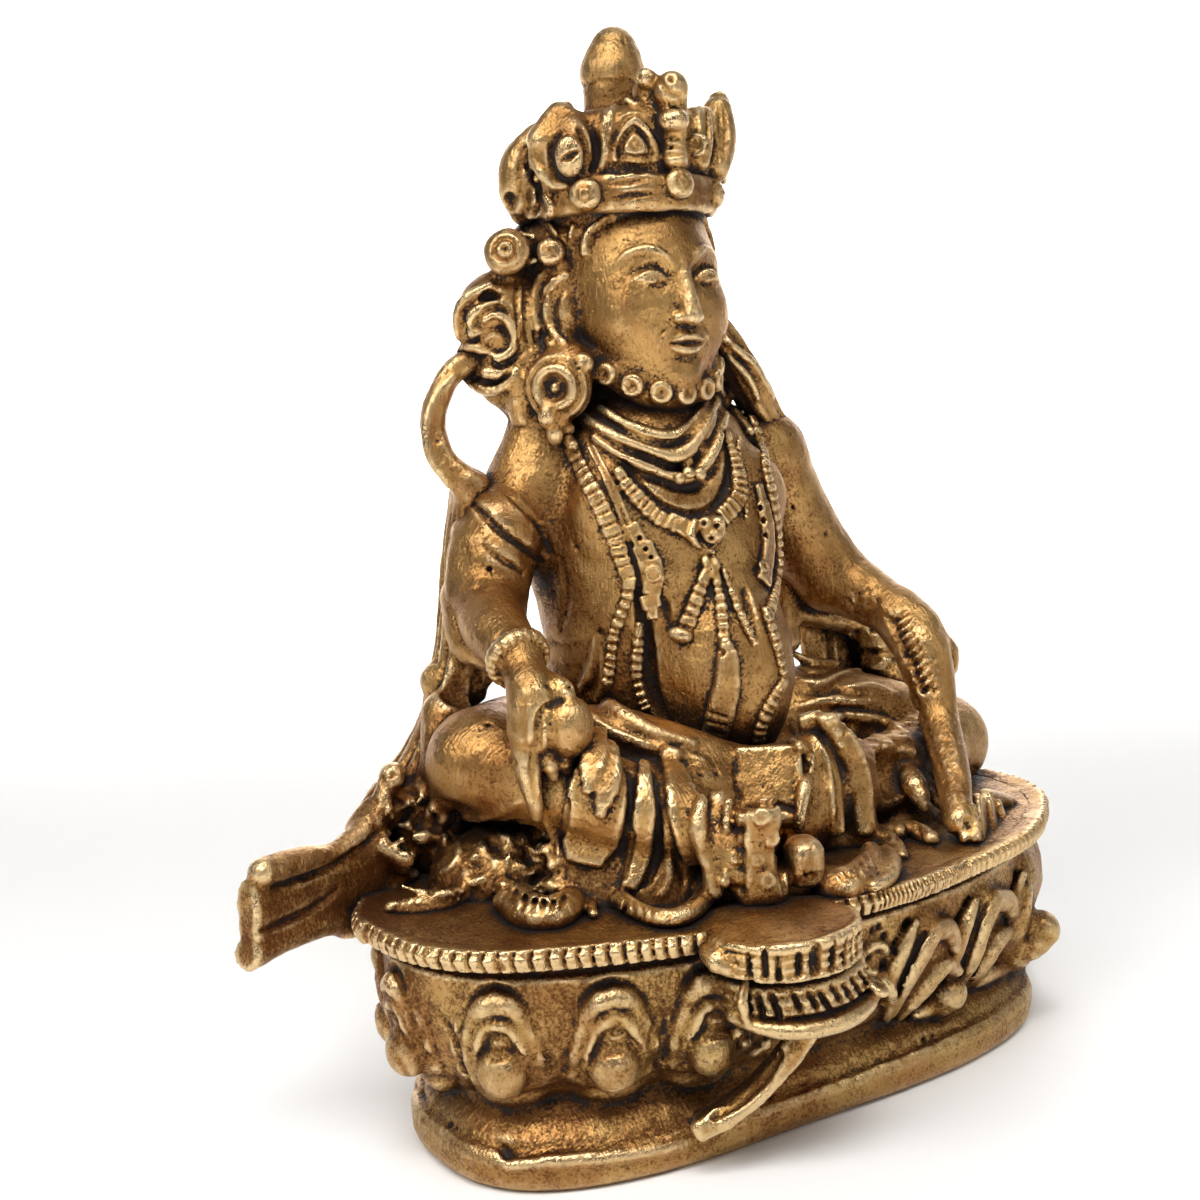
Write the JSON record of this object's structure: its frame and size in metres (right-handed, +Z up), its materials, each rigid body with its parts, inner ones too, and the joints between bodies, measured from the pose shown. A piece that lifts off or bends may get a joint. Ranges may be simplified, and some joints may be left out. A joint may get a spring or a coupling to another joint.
{
  "type": "seated deity statuette",
  "caption": "Cast brass statuette of a seated, pot-bellied wealth deity with crown, scarf and mongoose, on a lotus base.",
  "frame": {"origin": "on the underside it rests on, where the line of the base's greatest length crosses the middle plane", "axes": "+Z up, -Y out of the figure's front, +X towards the figure's left hand"},
  "size_m": [0.0858, 0.0535, 0.1],
  "materials": {
    "brass": "worn polish over dark patina"
  },
  "bodies": {
    "root": {"kubera_statue": "brass"}
  },
  "joints": []
}
